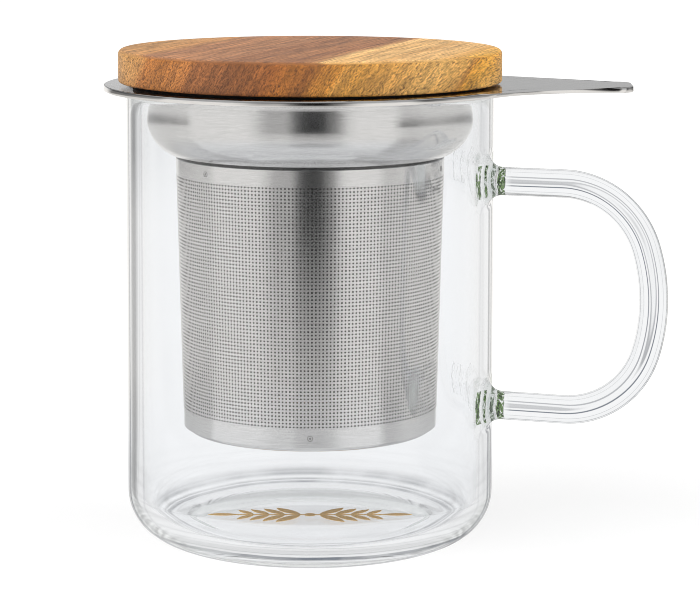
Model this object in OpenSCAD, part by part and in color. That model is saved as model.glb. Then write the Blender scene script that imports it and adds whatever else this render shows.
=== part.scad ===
// Lidded glass tea mug with a hanging steel infuser.
// Z points up, the mug's axis is the Z axis, and the origin is at the centre of its foot on the table.
// The handle stands out along +X.

/* [Mug glass] */
// Outside diameter of the glass
mug_d = 90; // [86:0.5:100]
// Height of the glass from foot to rim
mug_h = 110.3; // [104:0.1:125]
// Thickness of the glass wall
mug_wall = 3.5; // [2.8:0.1:4]
// Height of the inside floor above the table
floor_h = 4.3; // [3.6:0.1:6]
// Depth of the hollow under the base
foot_hollow = 1.5; // [0.5:0.1:2.2]
// Width of the foot ring that touches the table
foot_ring_w = 3.1; // [2:0.1:5]
// Outside radius between wall and base
base_r = 11.7; // [9:0.1:14]
// Inside radius between wall and floor
floor_r = 8.2; // [5:0.1:10]

/* [Handle] */
// Diameter of the glass rod
rod_d = 6.8; // [5:0.1:8]
// Drop from the rim to the centre of the upper bar
handle_drop = 20.7; // [16:0.1:26]
// Distance between the centres of the two bars
handle_span = 54.5; // [48:0.5:60]
// Distance from the glass wall to the outermost centreline
handle_reach = 41.0; // [36:0.1:48]
// Centreline radius of the two corners
corner_r = 20.8; // [16:0.1:22]
// Centreline radius of the bowed side
side_r = 42.9; // [38:0.1:60]
// Diameter of the fused foot at the wall
fuse_d = 14.8; // [11:0.1:16]

/* [Base ornament] */
// Length of the gilt leaf spray on the inside floor
spray_l = 51; // [40:1:56]
// Thickness of the gilding
gilt_t = 0.1; // [0.1:0.05:0.3]
// Leaf pairs on each half of the spray
leaf_pairs = 4; // [3:1:5]
// Length of the longest leaf
leaf_l = 9.5; // [7:0.5:11]
// Widest part of the longest leaf
leaf_w = 2.7; // [2:0.1:3]
// Width of the stem
stem_w = 0.5; // [0.3:0.1:0.8]
// Diameter of the bud in the middle
bud_d = 2.8; // [2:0.1:4]
// Angle between a leaf and the stem
leaf_angle = 50; // [40:1:60]
// Angle of the spray about the mug's axis, from the handle
spray_angle = 19; // [-90:1:90]

/* [Infuser bowl] */
// How far the flange stands out past the mug wall
flange_over = 5.5; // [4:0.1:9]
// Thickness of the flange and its tab
flange_t = 1.4; // [0.8:0.1:1.8]
// Thickness of the drawn bowl
bowl_t = 0.7; // [0.5:0.1:0.9]
// Depth from the top of the flange to the underside of the bowl
bowl_depth = 17.8; // [15:0.1:20]
// Outside radius of the bowl's lower corner
bowl_corner_r = 10.5; // [8:0.1:12]
// Radius of the rolled mouth, inside
mouth_r = 1.5; // [1.2:0.1:2]
// Height of the collar that the basket is welded to
collar_h = 3.4; // [3:0.1:5]
// Radius of the turn from the bowl into the collar, inside
collar_turn_r = 1.2; // [1:0.1:1.5]

/* [Lifting tab] */
// How far the tab reaches past the flange
tab_l = 28.2; // [20:0.1:34]
// Width of the tab
tab_w = 17; // [15:0.1:24]
// Radius of the flare from the flange into the tab
tab_flare_r = 35; // [25:1:60]
// Radius of the tab's two end corners
tab_corner_r = 3.8; // [2:0.1:6]
// Angle of the tab about the mug's axis, from the handle
tab_angle = 16; // [0:1:40]

/* [Basket] */
// Outside diameter at the top of the basket
basket_top_d = 66; // [60:0.5:67]
// Outside diameter at the bottom edge of the sleeve
basket_low_d = 62.4; // [58:0.1:66]
// Length of the rolled sleeve
sleeve_l = 66; // [50:0.5:72]
// Thickness of the sleeve and floor sheet
sheet_t = 0.4; // [0.3:0.05:0.5]
// How far the pressed floor stands out below the sleeve
floor_drop = 1.3; // [0.8:0.1:2]
// Height of the pressed floor's upturned rim inside the sleeve
floor_rim_h = 4; // [3:0.1:6]
// Outside radius of the pressed floor's corner
floor_corner_r = 2; // [1:0.1:3]

/* [Spot welds] */
// Welds round each joint
weld_count = 3; // [2:1:6]
// Diameter of a weld
weld_d = 1.4; // [1:0.1:2]
// Depth of the dimple that the electrode leaves
weld_dimple = 0.12; // [0.05:0.01:0.2]
// Angle of the first upper weld about the mug's axis, from the handle
upper_weld_angle = -118.7; // [-180:0.1:180]
// Angle of the first lower weld about the mug's axis, from the handle
lower_weld_angle = -71; // [-180:0.1:180]

/* [Wooden lid] */
// Set-back of the lid's edge from the flange's edge
lid_setback = 3.5; // [2:0.1:8]
// Thickness of the lid disc
lid_t = 8; // [6:0.1:12]
// Rounding of the lid's top edge
lid_top_r = 1.2; // [1:0.1:3]
// Rounding of the lid's lower edge
lid_low_r = 0.6; // [0.3:0.1:1.5]
// Height of the turned boss under the lid
boss_h = 5; // [4:0.1:8]
// Chamfer round the boss's lower edge
boss_chamfer = 0.5; // [0.2:0.1:0.6]
// Depth of the groove that holds the seal
groove_d = 1; // [0.6:0.1:1.5]
// Height of the boss's retaining edge below the groove
boss_edge_h = 1; // [0.6:0.1:1.6]

/* [Lid seal] */
// Thickness of the lip that the lid rests on
lip_t = 0.6; // [0.4:0.1:1.5]
// Set-back of the lip's edge from the lid's edge
lip_setback = 3.5; // [2:0.1:5]
// Thickness of the band round the boss
band_t = 2; // [1.5:0.1:2.5]
// Sealing ribs on the band
rib_count = 2; // [1:1:2]
// Height of one rib at its root
rib_h = 1.1; // [0.8:0.1:1.3]
// How far a rib stands out of the band
rib_reach = 0.9; // [0.5:0.1:1.2]
// Flat between the ribs, and below the lowest one
rib_space = 0.3; // [0.1:0.1:0.4]

/* [Fits] */
// Gap between the bowl and the inside of the mug
bowl_fit = 1.4; // [0.6:0.1:2]
// Gap between the flange and the rim of the mug
seat_fit = 0.2; // [0.2:0.05:0.5]
// Gap between welded sheets
sheet_fit = 0.05; // [0.02:0.01:0.1]
// Gap between the sealing ribs and the bowl
rib_fit = 0.3; // [0.3:0.05:0.6]

/* [Hidden] */
$fn = 128;
// Steps in a quarter turn of a rounded profile
steps = 10;
// Sides of the swept glass rod, and the most that it turns from one section to the next
rod_sides = 24;
bend_step = 8;
// Overlap of cutting tools past the faces that they cut
cut = 2;

mug_r = mug_d / 2;
inside_r = mug_r - mug_wall;
rod_r = rod_d / 2;
fuse_r = fuse_d / 2;
flare_r = fuse_r - rod_r;
bar_top_z = mug_h - handle_drop;
handle_mid_z = bar_top_z - handle_span / 2;
// The corner arcs and the side arc are tangent where they meet
corner_rise = handle_span / 2 - corner_r;
side_half_turn = asin(corner_rise / (side_r - corner_r));
reach_x = mug_r + handle_reach;
side_centre_x = reach_x - side_r;
bar_end_x = side_centre_x + (side_r - corner_r) * cos(side_half_turn);

flange_under_z = mug_h + seat_fit;
flange_top_z = flange_under_z + flange_t;
flange_r = mug_r + flange_over;
bowl_r = inside_r - bowl_fit;
bowl_in_r = bowl_r - bowl_t;
mouth_edge_r = bowl_in_r + mouth_r;
mouth_under_r = mouth_edge_r - bowl_r;
bowl_floor_z = flange_top_z - bowl_depth;
// Centre of the arc in the bowl's lower corner
bowl_arc = [bowl_r - bowl_corner_r, bowl_floor_z + bowl_corner_r];
basket_r = basket_top_d / 2;
collar_top_r = basket_r - sheet_t - sheet_fit;
collar_in_r = collar_top_r - bowl_t;
// Centre of the turn from the bowl into the collar
turn_in = collar_in_r + collar_turn_r - bowl_arc[0];
turn_reach = bowl_corner_r - bowl_t + collar_turn_r;
turn_arc = [collar_in_r + collar_turn_r, bowl_arc[1] - sqrt(turn_reach * turn_reach - turn_in * turn_in)];
turn_angle = asin(turn_in / turn_reach);

sleeve_top_z = turn_arc[1];
sleeve_low_z = sleeve_top_z - sleeve_l;
collar_low_z = sleeve_top_z - collar_h;
basket_floor_z = sleeve_low_z - floor_drop;
floor_rim_z = sleeve_low_z + floor_rim_h;
upper_weld_z = sleeve_top_z - 0.6 * collar_h;
lower_weld_z = sleeve_low_z + 0.57 * floor_rim_h;

lid_r = flange_r - lid_setback;
lid_low_z = flange_top_z + lip_t;
lid_top_z = lid_low_z + lid_t;
rib_r = bowl_in_r - rib_fit;
band_r = rib_r - rib_reach;
groove_r = band_r - band_t;
boss_r = groove_r + groove_d;
boss_low_z = lid_low_z - boss_h;
groove_low_z = boss_low_z + boss_edge_h;
lip_r = lid_r - lip_setback;

// Outside radius of the tapered sleeve at height z
function sleeve_r(z) =
    basket_low_d / 2 + (basket_r - basket_low_d / 2) * (z - sleeve_low_z) / sleeve_l;

// Radius of what fits inside the sleeve at height z
function inner_r(z) = sleeve_r(z) - sheet_t - sheet_fit;

// Points of an arc in the plane, from angle a to angle b
function arc(centre, r, a, b) =
    let (n = max(2, ceil(steps * abs(b - a) / 90)))
    [for (i = [0 : n]) centre + r * [cos(a + (b - a) * i / n), sin(a + (b - a) * i / n)]];

// Every copy round the axis, the first turned by first
module around(count, first) {
    for (i = [0 : count - 1]) rotate(first + 360 * i / count) children();
}

module mug_body() {
    rim = [mug_r - mug_wall / 2, mug_h - mug_wall / 2];
    foot_out = mug_r - base_r;
    foot_in = foot_out - foot_ring_w;
    color([0.90, 0.94, 0.93, 0.35])
    rotate_extrude()
    polygon(concat(
        [[0, foot_hollow], [foot_in - foot_hollow, foot_hollow], [foot_in, 0]],
        arc([foot_out, base_r], base_r, -90, 0),
        arc(rim, mug_wall / 2, 0, 180),
        arc([inside_r - floor_r, floor_h + floor_r], floor_r, 0, -90),
        [[0, floor_h]]
    ));
}

// Stations along the rod's centreline in the XZ plane, each [x, z, heading, radius of the rod]
function foot_stations(z) = concat(
    [[inside_r, z, 0, fuse_r]],
    [for (p = arc([fuse_r, mug_r + flare_r], flare_r, -90, -180)) [p[1], z, 0, p[0]]]
);
function bend_stations(centre, r, a, b, last) =
    let (n = ceil(abs(b - a) / bend_step))
    [for (i = [0 : n - 1 + last]) let (t = a + (b - a) * i / n)
        [centre[0] + r * cos(t), centre[1] + r * sin(t), t - 90, rod_r]];
function turned_back(stations) =
    [for (i = [len(stations) - 1 : -1 : 0]) let (s = stations[i])
        [s[0], 2 * handle_mid_z - s[1], -180 - s[2], s[3]]];

// Points of the rod's round section at one station
function section(s) =
    [for (i = [0 : rod_sides - 1]) let (t = 360 * i / rod_sides)
        [s[0] - s[3] * cos(t) * sin(s[2]), s[3] * sin(t), s[1] + s[3] * cos(t) * cos(s[2])]];

module mug_handle() {
    upper_half = concat(
        foot_stations(bar_top_z),
        bend_stations([bar_end_x, handle_mid_z + corner_rise], corner_r, 90, side_half_turn, 0)
    );
    side = bend_stations([side_centre_x, handle_mid_z], side_r, side_half_turn, -side_half_turn, 1);
    stations = concat(upper_half, side, turned_back(upper_half));
    last = len(stations) - 1;
    color([0.88, 0.93, 0.88, 0.4])
    difference() {
        polyhedron(
            points = [for (s = stations, p = section(s)) p],
            faces = concat(
                [[for (i = [0 : rod_sides - 1]) i]],
                [for (k = [0 : last - 1], i = [0 : rod_sides - 1])
                    let (j = (i + 1) % rod_sides, a = k * rod_sides, b = a + rod_sides)
                    [a + i, b + i, b + j, a + j]],
                [[for (i = [rod_sides - 1 : -1 : 0]) last * rod_sides + i]]
            )
        );
        cylinder(h = mug_h, r = mug_r);
    }
}

// A pointed leaf along +X from the origin
module leaf(l, w) {
    bow_r = (l * l + w * w) / (4 * w);
    intersection() {
        translate([l / 2, bow_r - w / 2]) circle(bow_r);
        translate([l / 2, w / 2 - bow_r]) circle(bow_r);
    }
}

// Half of the leaf spray, from the middle out along +X
module half_spray() {
    tip_leaf = 0.8;
    smallest_leaf = 0.55;
    first_step = 0.6;
    pair_step = (spray_l / 2 - tip_leaf * leaf_l) / (leaf_pairs + first_step);
    for (i = [0 : leaf_pairs - 1]) {
        size = 1 - (1 - smallest_leaf) * i / leaf_pairs;
        for (side = [-1, 1])
            translate([(i + first_step) * pair_step, 0])
            rotate(side * leaf_angle)
            leaf(leaf_l * size, leaf_w * size);
    }
    translate([spray_l / 2 - tip_leaf * leaf_l, 0]) leaf(tip_leaf * leaf_l, tip_leaf * leaf_w);
}

module base_ornament() {
    color([0.78, 0.60, 0.28])
    translate([0, 0, floor_h])
    rotate(spray_angle)
    linear_extrude(gilt_t)
    union() {
        half_spray();
        mirror([1, 0]) half_spray();
        square([spray_l - leaf_l, stem_w], center = true);
        circle(d = bud_d);
    }
}

// The flange's outline past the bowl, with the lifting tab flared out of it
module flange_outline() {
    half_w = tab_w / 2;
    tip_x = flange_r + tab_l;
    flare_y = half_w + tab_flare_r;
    flare_x = sqrt(pow(flange_r + tab_flare_r, 2) - flare_y * flare_y);
    meet = atan2(flare_y, flare_x);
    end_x = max(flare_x, tip_x - tab_corner_r);
    circle(flange_r);
    polygon(concat(
        [[0, 0]],
        arc([flare_x, -flare_y], tab_flare_r, 180 - meet, 90),
        arc([end_x, tab_corner_r - half_w], tab_corner_r, -90, 0),
        arc([end_x, half_w - tab_corner_r], tab_corner_r, 0, 90),
        arc([flare_x, flare_y], tab_flare_r, -90, meet - 180)
    ));
}

module infuser_bowl() {
    joint_r = mouth_edge_r + flange_t;
    color([0.72, 0.72, 0.71])
    difference() {
        union() {
            rotate_extrude()
            polygon(concat(
                [[joint_r, flange_top_z]],
                arc([mouth_edge_r, flange_top_z - mouth_r], mouth_r, 90, 180),
                arc(bowl_arc, bowl_corner_r - bowl_t, 0, turn_angle - 90),
                arc(turn_arc, collar_turn_r, turn_angle + 90, 180),
                [[inner_r(collar_low_z) - bowl_t, collar_low_z], [inner_r(collar_low_z), collar_low_z]],
                arc(turn_arc, collar_turn_r - bowl_t, 180, turn_angle + 90),
                arc(bowl_arc, bowl_corner_r, turn_angle - 90, 0),
                arc([mouth_edge_r, flange_under_z - mouth_under_r], mouth_under_r, 180, 90),
                [[joint_r, flange_under_z]]
            ));
            translate([0, 0, flange_under_z])
            linear_extrude(flange_t)
            difference() {
                rotate(tab_angle) flange_outline();
                circle(joint_r);
            }
        }
        weld_bores(upper_weld_angle, upper_weld_z);
    }
}

// The round holes that the welds of one joint fill
module weld_bores(first, z) {
    around(weld_count, first)
    translate([inner_r(z) - bowl_t - cut, 0, z])
    rotate([0, 90, 0])
    cylinder(h = bowl_t + sheet_t + 2 * cut, d = weld_d);
}

// The welds of one joint, from the inner sheet's inside face to the dimple in the sleeve
module welds(first, z, inner_t) {
    start = inner_r(z) - inner_t;
    around(weld_count, first)
    translate([start, 0, z])
    rotate([0, 90, 0])
    cylinder(h = sleeve_r(z) - weld_dimple - start, d = weld_d);
}

module basket_sleeve() {
    color([0.78, 0.78, 0.77])
    difference() {
        rotate_extrude()
        polygon([
            [sleeve_r(sleeve_low_z) - sheet_t, sleeve_low_z],
            [sleeve_r(sleeve_low_z), sleeve_low_z],
            [sleeve_r(sleeve_top_z), sleeve_top_z],
            [sleeve_r(sleeve_top_z) - sheet_t, sleeve_top_z]
        ]);
        weld_bores(upper_weld_angle, upper_weld_z);
        weld_bores(lower_weld_angle, lower_weld_z);
    }
}

module basket_floor() {
    corner_top_z = basket_floor_z + floor_corner_r;
    wall_r = inner_r(corner_top_z);
    corner = [wall_r - floor_corner_r, corner_top_z];
    color([0.74, 0.74, 0.73])
    difference() {
        rotate_extrude()
        polygon(concat(
            [[0, basket_floor_z]],
            arc(corner, floor_corner_r, -90, 0),
            [[inner_r(floor_rim_z), floor_rim_z], [inner_r(floor_rim_z) - sheet_t, floor_rim_z]],
            arc(corner, floor_corner_r - sheet_t, 0, -90),
            [[0, basket_floor_z + sheet_t]]
        ));
        weld_bores(lower_weld_angle, lower_weld_z);
    }
}

module upper_spot_welds() {
    color([0.60, 0.60, 0.60]) welds(upper_weld_angle, upper_weld_z, bowl_t);
}

module lower_spot_welds() {
    color([0.60, 0.60, 0.60]) welds(lower_weld_angle, lower_weld_z, sheet_t);
}

module lid_disc() {
    color([0.62, 0.38, 0.18])
    rotate_extrude()
    polygon(concat(
        [[0, boss_low_z], [boss_r - boss_chamfer, boss_low_z], [boss_r, boss_low_z + boss_chamfer]],
        [[boss_r, groove_low_z], [groove_r, groove_low_z], [groove_r, lid_low_z]],
        arc([lid_r - lid_low_r, lid_low_z + lid_low_r], lid_low_r, -90, 0),
        arc([lid_r - lid_top_r, lid_top_z - lid_top_r], lid_top_r, 0, 90),
        [[0, lid_top_z]]
    ));
}

module lid_seal() {
    rib_pitch = rib_h + rib_space;
    first_rib_z = groove_low_z + rib_space;
    color([0.12, 0.12, 0.12])
    rotate_extrude()
    polygon(concat(
        [[groove_r, groove_low_z], [band_r, groove_low_z]],
        [for (i = [0 : rib_count - 1], p = [[band_r, 0], [rib_r, rib_h / 2], [band_r, rib_h]])
            [p[0], first_rib_z + i * rib_pitch + p[1]]],
        [[band_r, flange_top_z], [lip_r, flange_top_z], [lip_r, lid_low_z], [groove_r, lid_low_z]]
    ));
}

mug_body();
mug_handle();
base_ornament();
infuser_bowl();
basket_sleeve();
basket_floor();
upper_spot_welds();
lower_spot_welds();
lid_disc();
lid_seal();
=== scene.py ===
"""Dresses the lidded glass tea mug, and sets up its light and camera.

The classes work in millimetres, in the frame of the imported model: Z up, the handle along +X, the foot on
the table. finish_piece turns each finished mesh into metres. Shader coordinates are in metres, as Blender
gives them.
"""

import logging
import math
from dataclasses import dataclass, field
from enum import Enum
from typing import Any, Callable

import bmesh
import bpy
from mathutils import Matrix, Vector


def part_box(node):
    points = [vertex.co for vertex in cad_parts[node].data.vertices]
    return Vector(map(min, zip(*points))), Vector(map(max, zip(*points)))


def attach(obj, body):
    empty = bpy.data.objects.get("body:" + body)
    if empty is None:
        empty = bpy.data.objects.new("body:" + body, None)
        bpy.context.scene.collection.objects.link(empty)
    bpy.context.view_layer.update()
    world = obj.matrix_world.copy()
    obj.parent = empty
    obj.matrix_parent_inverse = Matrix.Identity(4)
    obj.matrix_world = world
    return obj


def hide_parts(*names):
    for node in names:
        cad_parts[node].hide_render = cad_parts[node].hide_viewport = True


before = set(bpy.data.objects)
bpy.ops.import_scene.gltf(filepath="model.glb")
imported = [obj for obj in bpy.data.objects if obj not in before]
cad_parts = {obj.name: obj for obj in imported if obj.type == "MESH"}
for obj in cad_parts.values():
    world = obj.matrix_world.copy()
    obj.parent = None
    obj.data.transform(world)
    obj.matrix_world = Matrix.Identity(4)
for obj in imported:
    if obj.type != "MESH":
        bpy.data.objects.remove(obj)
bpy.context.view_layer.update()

LOG = logging.getLogger("tea_mug")
MM = 0.001
ROUND = 256  # steps of a full turn
MERGE = 0.002  # points closer than this, in millimetres, become one
NEAR = 0.01  # a point this close to a height, in millimetres, counts as at it
LEVEL = 0.001  # the same for points that were made at it
ETCHED = "etched"  # the attribute that marks the walls of etched holes
WHITE = (1.0, 1.0, 1.0)
BLACK = (0.0, 0.0, 0.0)

Point = tuple[float, float]
Colour = tuple[float, float, float]
Stops = list[tuple[float, Colour]]
Socket = bpy.types.NodeSocket
Mesh = bmesh.types.BMesh
Edges = list[bmesh.types.BMEdge]


class Body(Enum):
    """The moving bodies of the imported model."""

    MUG = "mug"
    INFUSER = "infuser"
    LID = "lid"


class Slot(Enum):
    """The record's material slots."""

    GLASS = "clear_glass"
    DRAWN = "drawn_steel"
    PERFORATED = "perforated_steel"
    WELD = "weld_steel"
    WOOD = "acacia_wood"
    SILICONE = "silicone"


# ------------------------------------------------------------------------------------------- meshes


def node_box(node: str) -> tuple[Vector, Vector]:
    """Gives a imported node's lowest and highest corners in millimetres."""
    low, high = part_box(node)
    return Vector(low) / MM, Vector(high) / MM


def arc(centre: Point, radius: float, start: float, end: float, steps: int) -> list[Point]:
    """Lists the points of an arc in the plane.

    Args:
        centre: The arc's centre.
        radius: Its radius.
        start: The first angle, in degrees.
        end: The last angle, in degrees.
        steps: How many chords the arc gets.

    Returns:
        The points, both ends included.
    """
    angles = [math.radians(start + (end - start) * i / steps) for i in range(steps + 1)]
    return [(centre[0] + radius * math.cos(a), centre[1] + radius * math.sin(a)) for a in angles]


def lathe(bm: Mesh, profile: list[Point], segments: int = ROUND) -> None:
    """Turns a profile of radius and height round the Z axis.

    Args:
        bm: The mesh that receives the shape.
        profile: The points of the profile, in order.
        segments: Steps in the full turn.
    """
    verts = [bm.verts.new((r, 0, z)) for r, z in profile]
    edges = [bm.edges.new(pair) for pair in zip(verts, verts[1:])]
    bmesh.ops.spin(bm, geom=verts + edges, cent=(0, 0, 0), axis=(0, 0, 1), angle=math.tau,
                   steps=segments, use_merge=True)


def verts_of(items: list[Any]) -> list[bmesh.types.BMVert]:
    """Picks the vertices out of what an operator made."""
    return [item for item in items if isinstance(item, bmesh.types.BMVert)]


def open_edges(items: Any) -> Edges:
    """Picks the edges with one face out of what an operator made."""
    return [item for item in items if isinstance(item, bmesh.types.BMEdge) and item.is_boundary]


def pull_out(bm: Mesh, ring: Edges, move: Vector) -> Edges:
    """Extrudes a ring of edges and moves the new ring.

    Args:
        bm: The mesh.
        ring: The edges to extrude.
        move: How far the new ring goes.

    Returns:
        The open edges of the new ring.
    """
    made = bmesh.ops.extrude_edge_only(bm, edges=ring)["geom"]
    bmesh.ops.translate(bm, vec=move, verts=verts_of(made))
    return open_edges(made)


def close_up(bm: Mesh) -> None:
    """Merges doubles at poles and seams, and turns every face outwards."""
    bmesh.ops.remove_doubles(bm, verts=bm.verts, dist=MERGE)
    bmesh.ops.recalc_face_normals(bm, faces=bm.faces)


def finish_piece(bm: Mesh, name: str, body: Body, material: bpy.types.Material,
                 replaces: tuple[str, ...] = (), crease: float = 40) -> bpy.types.Object:
    """Makes an object of a mesh in millimetres and enters it in the frame.

    Args:
        bm: The finished mesh. It is freed.
        name: The piece's name.
        body: The body it moves with.
        material: Its finish.
        replaces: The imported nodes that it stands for.
        crease: Edges that turn more than this, in degrees, stay sharp.

    Returns:
        The object.
    """
    bmesh.ops.scale(bm, vec=(MM, MM, MM), verts=bm.verts)
    mesh = bpy.data.meshes.new(name)
    bm.to_mesh(mesh)
    bm.free()
    mesh.shade_smooth()
    mesh.set_sharp_from_angle(angle=math.radians(crease))
    mesh.materials.append(material)
    piece = bpy.data.objects.new(name, mesh)
    bpy.context.scene.collection.objects.link(piece)
    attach(piece, body.value)
    if replaces:
        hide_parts(*replaces)
    LOG.info("%s: %d faces on %s", name, len(mesh.polygons), body.value)
    return piece


# -------------------------------------------------------------------------------------- shader help


class Shader:
    """Adds and links nodes in one node tree."""

    def __init__(self, tree: bpy.types.NodeTree) -> None:
        """Keeps the tree that the nodes go into."""
        self.tree = tree

    def feed(self, node: bpy.types.Node, inputs: dict[Any, Any]) -> None:
        """Gives a node's inputs their values, or links the sockets of other nodes to them.

        Args:
            node: The node.
            inputs: Values or sockets by the name or number of the input.
        """
        for key, value in inputs.items():
            if isinstance(value, Socket):
                self.tree.links.new(value, node.inputs[key])
            else:
                node.inputs[key].default_value = value

    def add(self, kind: str, inputs: dict[Any, Any] | None = None, **settings: Any) -> bpy.types.Node:
        """Adds one node.

        Args:
            kind: The node's type, without its ShaderNode prefix.
            inputs: Values, or the sockets of other nodes, by the name or number of the input.
            settings: Properties of the node.

        Returns:
            The node.
        """
        node = self.tree.nodes.new("ShaderNode" + kind)
        for key, value in settings.items():
            setattr(node, key, value)
        self.feed(node, inputs or {})
        return node

    def math(self, operation: str, *values: Any, clamp: bool = False) -> Socket:
        """Adds a Math node over numbers or sockets, and gives its output."""
        return self.add("Math", dict(enumerate(values)), operation=operation, use_clamp=clamp).outputs[0]

    def times(self, a: Any, b: Any, clamp: bool = False) -> Socket:
        """Multiplies two numbers."""
        return self.math("MULTIPLY", a, b, clamp=clamp)

    def plus(self, a: Any, b: Any) -> Socket:
        """Adds two numbers."""
        return self.math("ADD", a, b)

    def minus(self, a: Any, b: Any) -> Socket:
        """Subtracts the second number from the first."""
        return self.math("SUBTRACT", a, b)

    def most(self, a: Any, b: Any) -> Socket:
        """Gives the larger of two numbers."""
        return self.math("MAXIMUM", a, b)

    def ramp(self, factor: Any, stops: Stops) -> Socket:
        """Adds a colour ramp.

        Args:
            factor: The socket that drives it.
            stops: Positions from 0 to 1 with their colours.

        Returns:
            The colour socket.
        """
        node = self.add("ValToRGB", {"Fac": factor})
        ramp = node.color_ramp
        for _ in stops[2:]:
            ramp.elements.new(0.5)
        for element, (place, colour) in zip(ramp.elements, stops):
            element.position = place
            element.color = (*colour, 1)
        return node.outputs["Color"]

    def grey_ramp(self, factor: Any, *stops: tuple[float, float]) -> Socket:
        """Adds a ramp of levels, each given with its position, and gives a number."""
        levels = self.ramp(factor, [(place, (level, level, level)) for place, level in stops])
        return self.add("RGBToBW", {"Color": levels}).outputs[0]

    def mix(self, factor: Any, a: Any, b: Any, blend: str = "MIX") -> Socket:
        """Mixes two colours.

        Args:
            factor: How far it goes from the first colour to the second.
            a: The first colour or its socket.
            b: The second colour or its socket.
            blend: The kind of mix.

        Returns:
            The mixed colour.
        """
        a, b = (colour if isinstance(colour, Socket) else (*colour, 1) for colour in (a, b))
        return self.add("Mix", {0: factor, 6: a, 7: b}, data_type="RGBA", blend_type=blend).outputs[2]

    def tint(self, colour: Any, by: Any) -> Socket:
        """Multiplies a colour by a colour or a number."""
        return self.mix(1.0, colour, by, "MULTIPLY")

    def blend(self, factor: Any, a: Any, b: Any) -> Socket:
        """Mixes two numbers."""
        return self.add("Mix", {0: factor, 2: a, 3: b}).outputs[0]

    def place(self) -> Socket:
        """Gives Object coordinates."""
        return self.add("TexCoord").outputs["Object"]

    def parts(self, vector: Any) -> Any:
        """Splits a vector, and gives its parts by their names X, Y and Z."""
        return self.add("SeparateXYZ", {"Vector": vector}).outputs

    def vector(self, **parts: Any) -> Socket:
        """Joins the parts X, Y and Z of a vector. One that is left out is 0."""
        return self.add("CombineXYZ", parts).outputs[0]

    def length(self, vector: Any) -> Socket:
        """Gives a vector's length."""
        return self.add("VectorMath", {0: vector}, operation="LENGTH").outputs["Value"]

    def stretched(self, scale: Colour, turn: float = 0.0) -> Socket:
        """Turns Object coordinates about Z and then scales them.

        Args:
            scale: The factor along each axis.
            turn: The turn in degrees.

        Returns:
            The coordinates.
        """
        turned = self.add("Mapping", {"Vector": self.place(), "Rotation": (0, 0, math.radians(turn))})
        return self.add("Mapping", {"Vector": turned.outputs[0], "Scale": scale}).outputs[0]

    def noise(self, vector: Any, scale: float = 1.0, detail: float = 2.0, rough: float = 0.5,
              distortion: float = 0.0) -> Socket:
        """Adds a noise texture and gives its factor."""
        return self.add("TexNoise", {"Vector": vector, "Scale": scale, "Detail": detail, "Roughness": rough,
                                     "Distortion": distortion}).outputs["Fac"]

    def even_noise(self, scale: float, detail: float = 2.0) -> Socket:
        """Adds a noise on Object coordinates, alike in all directions."""
        return self.noise(self.stretched((scale, scale, scale)), detail=detail)

    def sway(self, value: Any, noise: Any, width: float) -> Socket:
        """Moves a value to and fro by a noise, over a width in all."""
        return self.math("MULTIPLY_ADD", self.minus(noise, 0.5), width, value)

    def range(self, value: Any, low: float, high: float, to_low: float, to_high: float) -> Socket:
        """Maps a value from one range to another, clamped."""
        return self.add("MapRange", {"Value": value, "From Min": low, "From Max": high,
                                     "To Min": to_low, "To Max": to_high}).outputs[0]

    def above(self, value: Any, limit: float) -> Socket:
        """Gives 1 where a value is above a limit, and 0 elsewhere."""
        return self.math("GREATER_THAN", value, limit)

    def below(self, value: Any, limit: Any) -> Socket:
        """Gives 1 where a value is below a limit, and 0 elsewhere."""
        return self.math("LESS_THAN", value, limit)


def new_material(name: str) -> tuple[bpy.types.Material, Shader, bpy.types.Node]:
    """Starts a material with a Principled BSDF on its output.

    Args:
        name: The material's name.

    Returns:
        The material, its shader helper and the Principled BSDF.
    """
    material = bpy.data.materials.new(name)
    material.use_nodes = True
    shader = Shader(material.node_tree)
    return material, shader, material.node_tree.nodes["Principled BSDF"]


def group(name: str, inputs: dict[str, float], outputs: tuple[str, ...],
          build: Callable[[Shader, bpy.types.Node], dict[str, Any]]) -> bpy.types.NodeTree:
    """Builds a shader node group.

    Args:
        name: The group's name.
        inputs: Its number inputs, with their default values.
        outputs: The names of its number outputs.
        build: Adds the nodes. It takes the helper and the group's input node, and gives a socket for each
            output.

    Returns:
        The group's tree.
    """
    tree = bpy.data.node_groups.new(name, "ShaderNodeTree")
    for key, value in inputs.items():
        tree.interface.new_socket(key, in_out="INPUT", socket_type="NodeSocketFloat").default_value = value
    for key in outputs:
        tree.interface.new_socket(key, in_out="OUTPUT", socket_type="NodeSocketFloat")
    shader = Shader(tree)
    source, sink = tree.nodes.new("NodeGroupInput"), tree.nodes.new("NodeGroupOutput")
    shader.feed(sink, build(shader, source))
    return tree


def brushing_group() -> bpy.types.NodeTree:
    """Builds the fine scratches that run round a turned or rolled steel piece.

    Returns:
        A group that takes the density of the scratches and how far they are drawn out along the turn.
    """

    def build(shader: Shader, source: bpy.types.Node) -> dict[str, Any]:
        """Adds the scratches and a slow cloud of stains.

        Args:
            shader: The helper of the group's tree.
            source: The group's input node.

        Returns:
            A socket for each output.
        """
        axes = shader.parts(shader.place())
        along = shader.times(source.outputs["Density"], source.outputs["Along"])
        squeezed = shader.vector(X=shader.times(axes["X"], along), Y=shader.times(axes["Y"], along),
                                 Z=shader.times(axes["Z"], source.outputs["Density"]))
        scratches = shader.noise(squeezed, detail=4, rough=0.65)
        cloud = shader.noise(shader.place(), scale=70, detail=3)
        return {"Scratches": scratches, "Cloud": cloud}

    return group("brushing", {"Density": 9000, "Along": 0.03}, ("Scratches", "Cloud"), build)


# ----------------------------------------------------------------------------------------- finishes


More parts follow.
